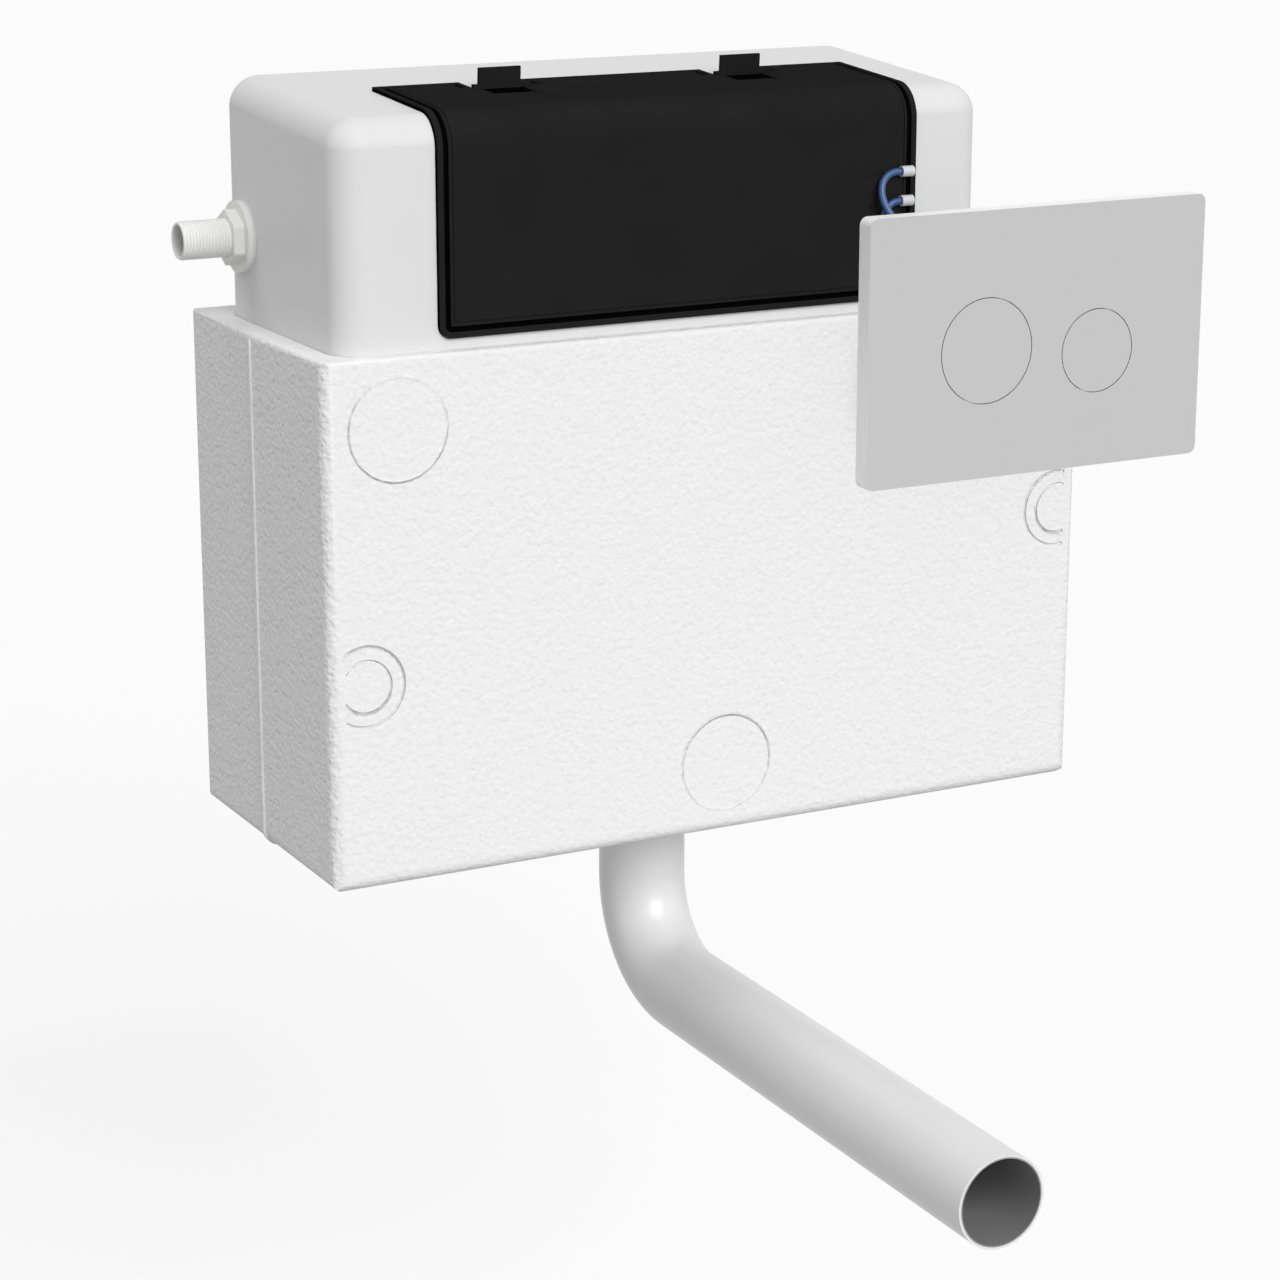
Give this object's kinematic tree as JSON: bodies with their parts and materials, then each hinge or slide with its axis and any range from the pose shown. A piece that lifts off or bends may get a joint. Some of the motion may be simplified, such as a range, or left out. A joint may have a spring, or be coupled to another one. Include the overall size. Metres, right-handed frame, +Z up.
{
  "type": "concealed toilet cistern",
  "caption": "Concealed toilet cistern in a foam jacket, with lift-off access cover, side water inlet, air-operated dual flush valve, bent flush pipe and flush plate with push buttons.",
  "frame": {"origin": "midway between the two wall fixing holes, in the plane of the wall behind the cistern", "axes": "+X to the right seen from the room, +Y from the room towards the wall, +Z up"},
  "size_m": [0.5258, 0.477, 0.5536],
  "materials": {
    "expanded_polystyrene": "matte",
    "tank_polyethylene": "satin",
    "cover_black_polypropylene": "satin",
    "elbow_grey_plastic": "satin",
    "hose_blue_pvc": "satin",
    "zinc_plated_steel": "satin",
    "fitting_white_acetal": "satin",
    "fitting_blue_plastic": "satin",
    "fitting_green_plastic": "satin",
    "clear_grey_plastic": "satin",
    "black_plastic": "satin",
    "sealing_rubber": "matte",
    "red_silicone": "matte",
    "pipe_white_polypropylene": "gloss",
    "plate_satin_grey": "satin",
    "frame_grey_plastic": "matte"
  },
  "bodies": {
    "cistern": {"insulation_front_shell": "expanded_polystyrene", "insulation_rear_shell": "expanded_polystyrene", "tank": "tank_polyethylene", "wall_brackets": "zinc_plated_steel", "bracket_screws": "zinc_plated_steel", "inlet_shank": "fitting_white_acetal", "inlet_strainer": "fitting_blue_plastic", "inlet_back_nut": "fitting_white_acetal", "inlet_washer": "sealing_rubber", "fill_valve_body": "fitting_white_acetal", "fill_valve_diaphragm": "sealing_rubber", "fill_valve_cap": "fitting_blue_plastic", "fill_discharge_tube": "clear_grey_plastic", "float_arm_pin": "zinc_plated_steel", "flush_valve_base": "fitting_white_acetal", "base_washer": "sealing_rubber", "outlet_back_nut": "fitting_white_acetal", "pipe_seal": "sealing_rubber", "valve_cage": "fitting_white_acetal", "full_actuator_housing": "black_plastic", "half_actuator_housing": "black_plastic", "full_inner_hose": "hose_blue_pvc", "half_inner_hose": "hose_blue_pvc", "full_outer_hose": "hose_blue_pvc", "half_outer_hose": "hose_blue_pvc", "flush_pipe": "pipe_white_polypropylene", "plate_fascia": "plate_satin_grey", "plate_frame": "frame_grey_plastic", "full_pump_housing": "black_plastic", "half_pump_housing": "black_plastic", "full_pump_bellows": "sealing_rubber", "half_pump_bellows": "sealing_rubber"},
    "service_cover": {"access_cover": "cover_black_polypropylene", "hose_elbows": "elbow_grey_plastic"},
    "flush_plunger": {"overflow_plunger": "clear_grey_plastic", "seat_seal": "red_silicone", "lift_yoke": "fitting_blue_plastic", "full_actuator_piston": "clear_grey_plastic"},
    "half_flush": {"half_flush_float": "clear_grey_plastic", "half_lift_yoke": "fitting_green_plastic", "half_actuator_piston": "clear_grey_plastic"},
    "fill_float": {"float_cup": "clear_grey_plastic", "float_rod": "fitting_white_acetal"},
    "fill_arm": {"float_arm": "fitting_green_plastic"},
    "full_flush_button": {"full_button": "plate_satin_grey"},
    "half_flush_button": {"half_button": "plate_satin_grey"}
  },
  "joints": [
    {"name": "cover_lift", "type": "slide", "parent": "cistern", "child": "service_cover", "axis": [0, 0, 1], "range_m": [0, 0.13], "deforming": ["full_outer_hose", "half_outer_hose", "full_inner_hose", "half_inner_hose"]},
    {"name": "flush_lift", "type": "slide", "parent": "cistern", "child": "flush_plunger", "axis": [0, 0, 1], "range_m": [0, 0.02]},
    {"name": "half_flush_lift", "type": "slide", "parent": "cistern", "child": "half_flush", "axis": [0, 0, 1], "range_m": [0, 0.01]},
    {"name": "fill_float_rise", "type": "slide", "parent": "cistern", "child": "fill_float", "axis": [0, 0, 1], "range_m": [0, 0.012]},
    {"name": "float_arm_swing", "type": "hinge", "parent": "cistern", "child": "fill_arm", "pos_m": [-0.143, -0.05, -0.0485], "axis": [0, -1, 0], "range_deg": [0, 17.5]},
    {"name": "full_button_press", "type": "slide", "parent": "cistern", "child": "full_flush_button", "axis": [0, 1, 0], "range_m": [0, 0.005], "stiffness_N_per_m": 300, "deforming": ["full_pump_bellows"]},
    {"name": "half_button_press", "type": "slide", "parent": "cistern", "child": "half_flush_button", "axis": [0, 1, 0], "range_m": [0, 0.005], "stiffness_N_per_m": 300, "deforming": ["half_pump_bellows"]}
  ],
  "couplings": [
    {"joint": "full_button_press", "follows": "flush_lift", "ratio": 0.25},
    {"joint": "half_button_press", "follows": "half_flush_lift", "ratio": 0.5},
    {"joint": "float_arm_swing", "follows": "fill_float_rise", "rad_per_m": 25}
  ]
}
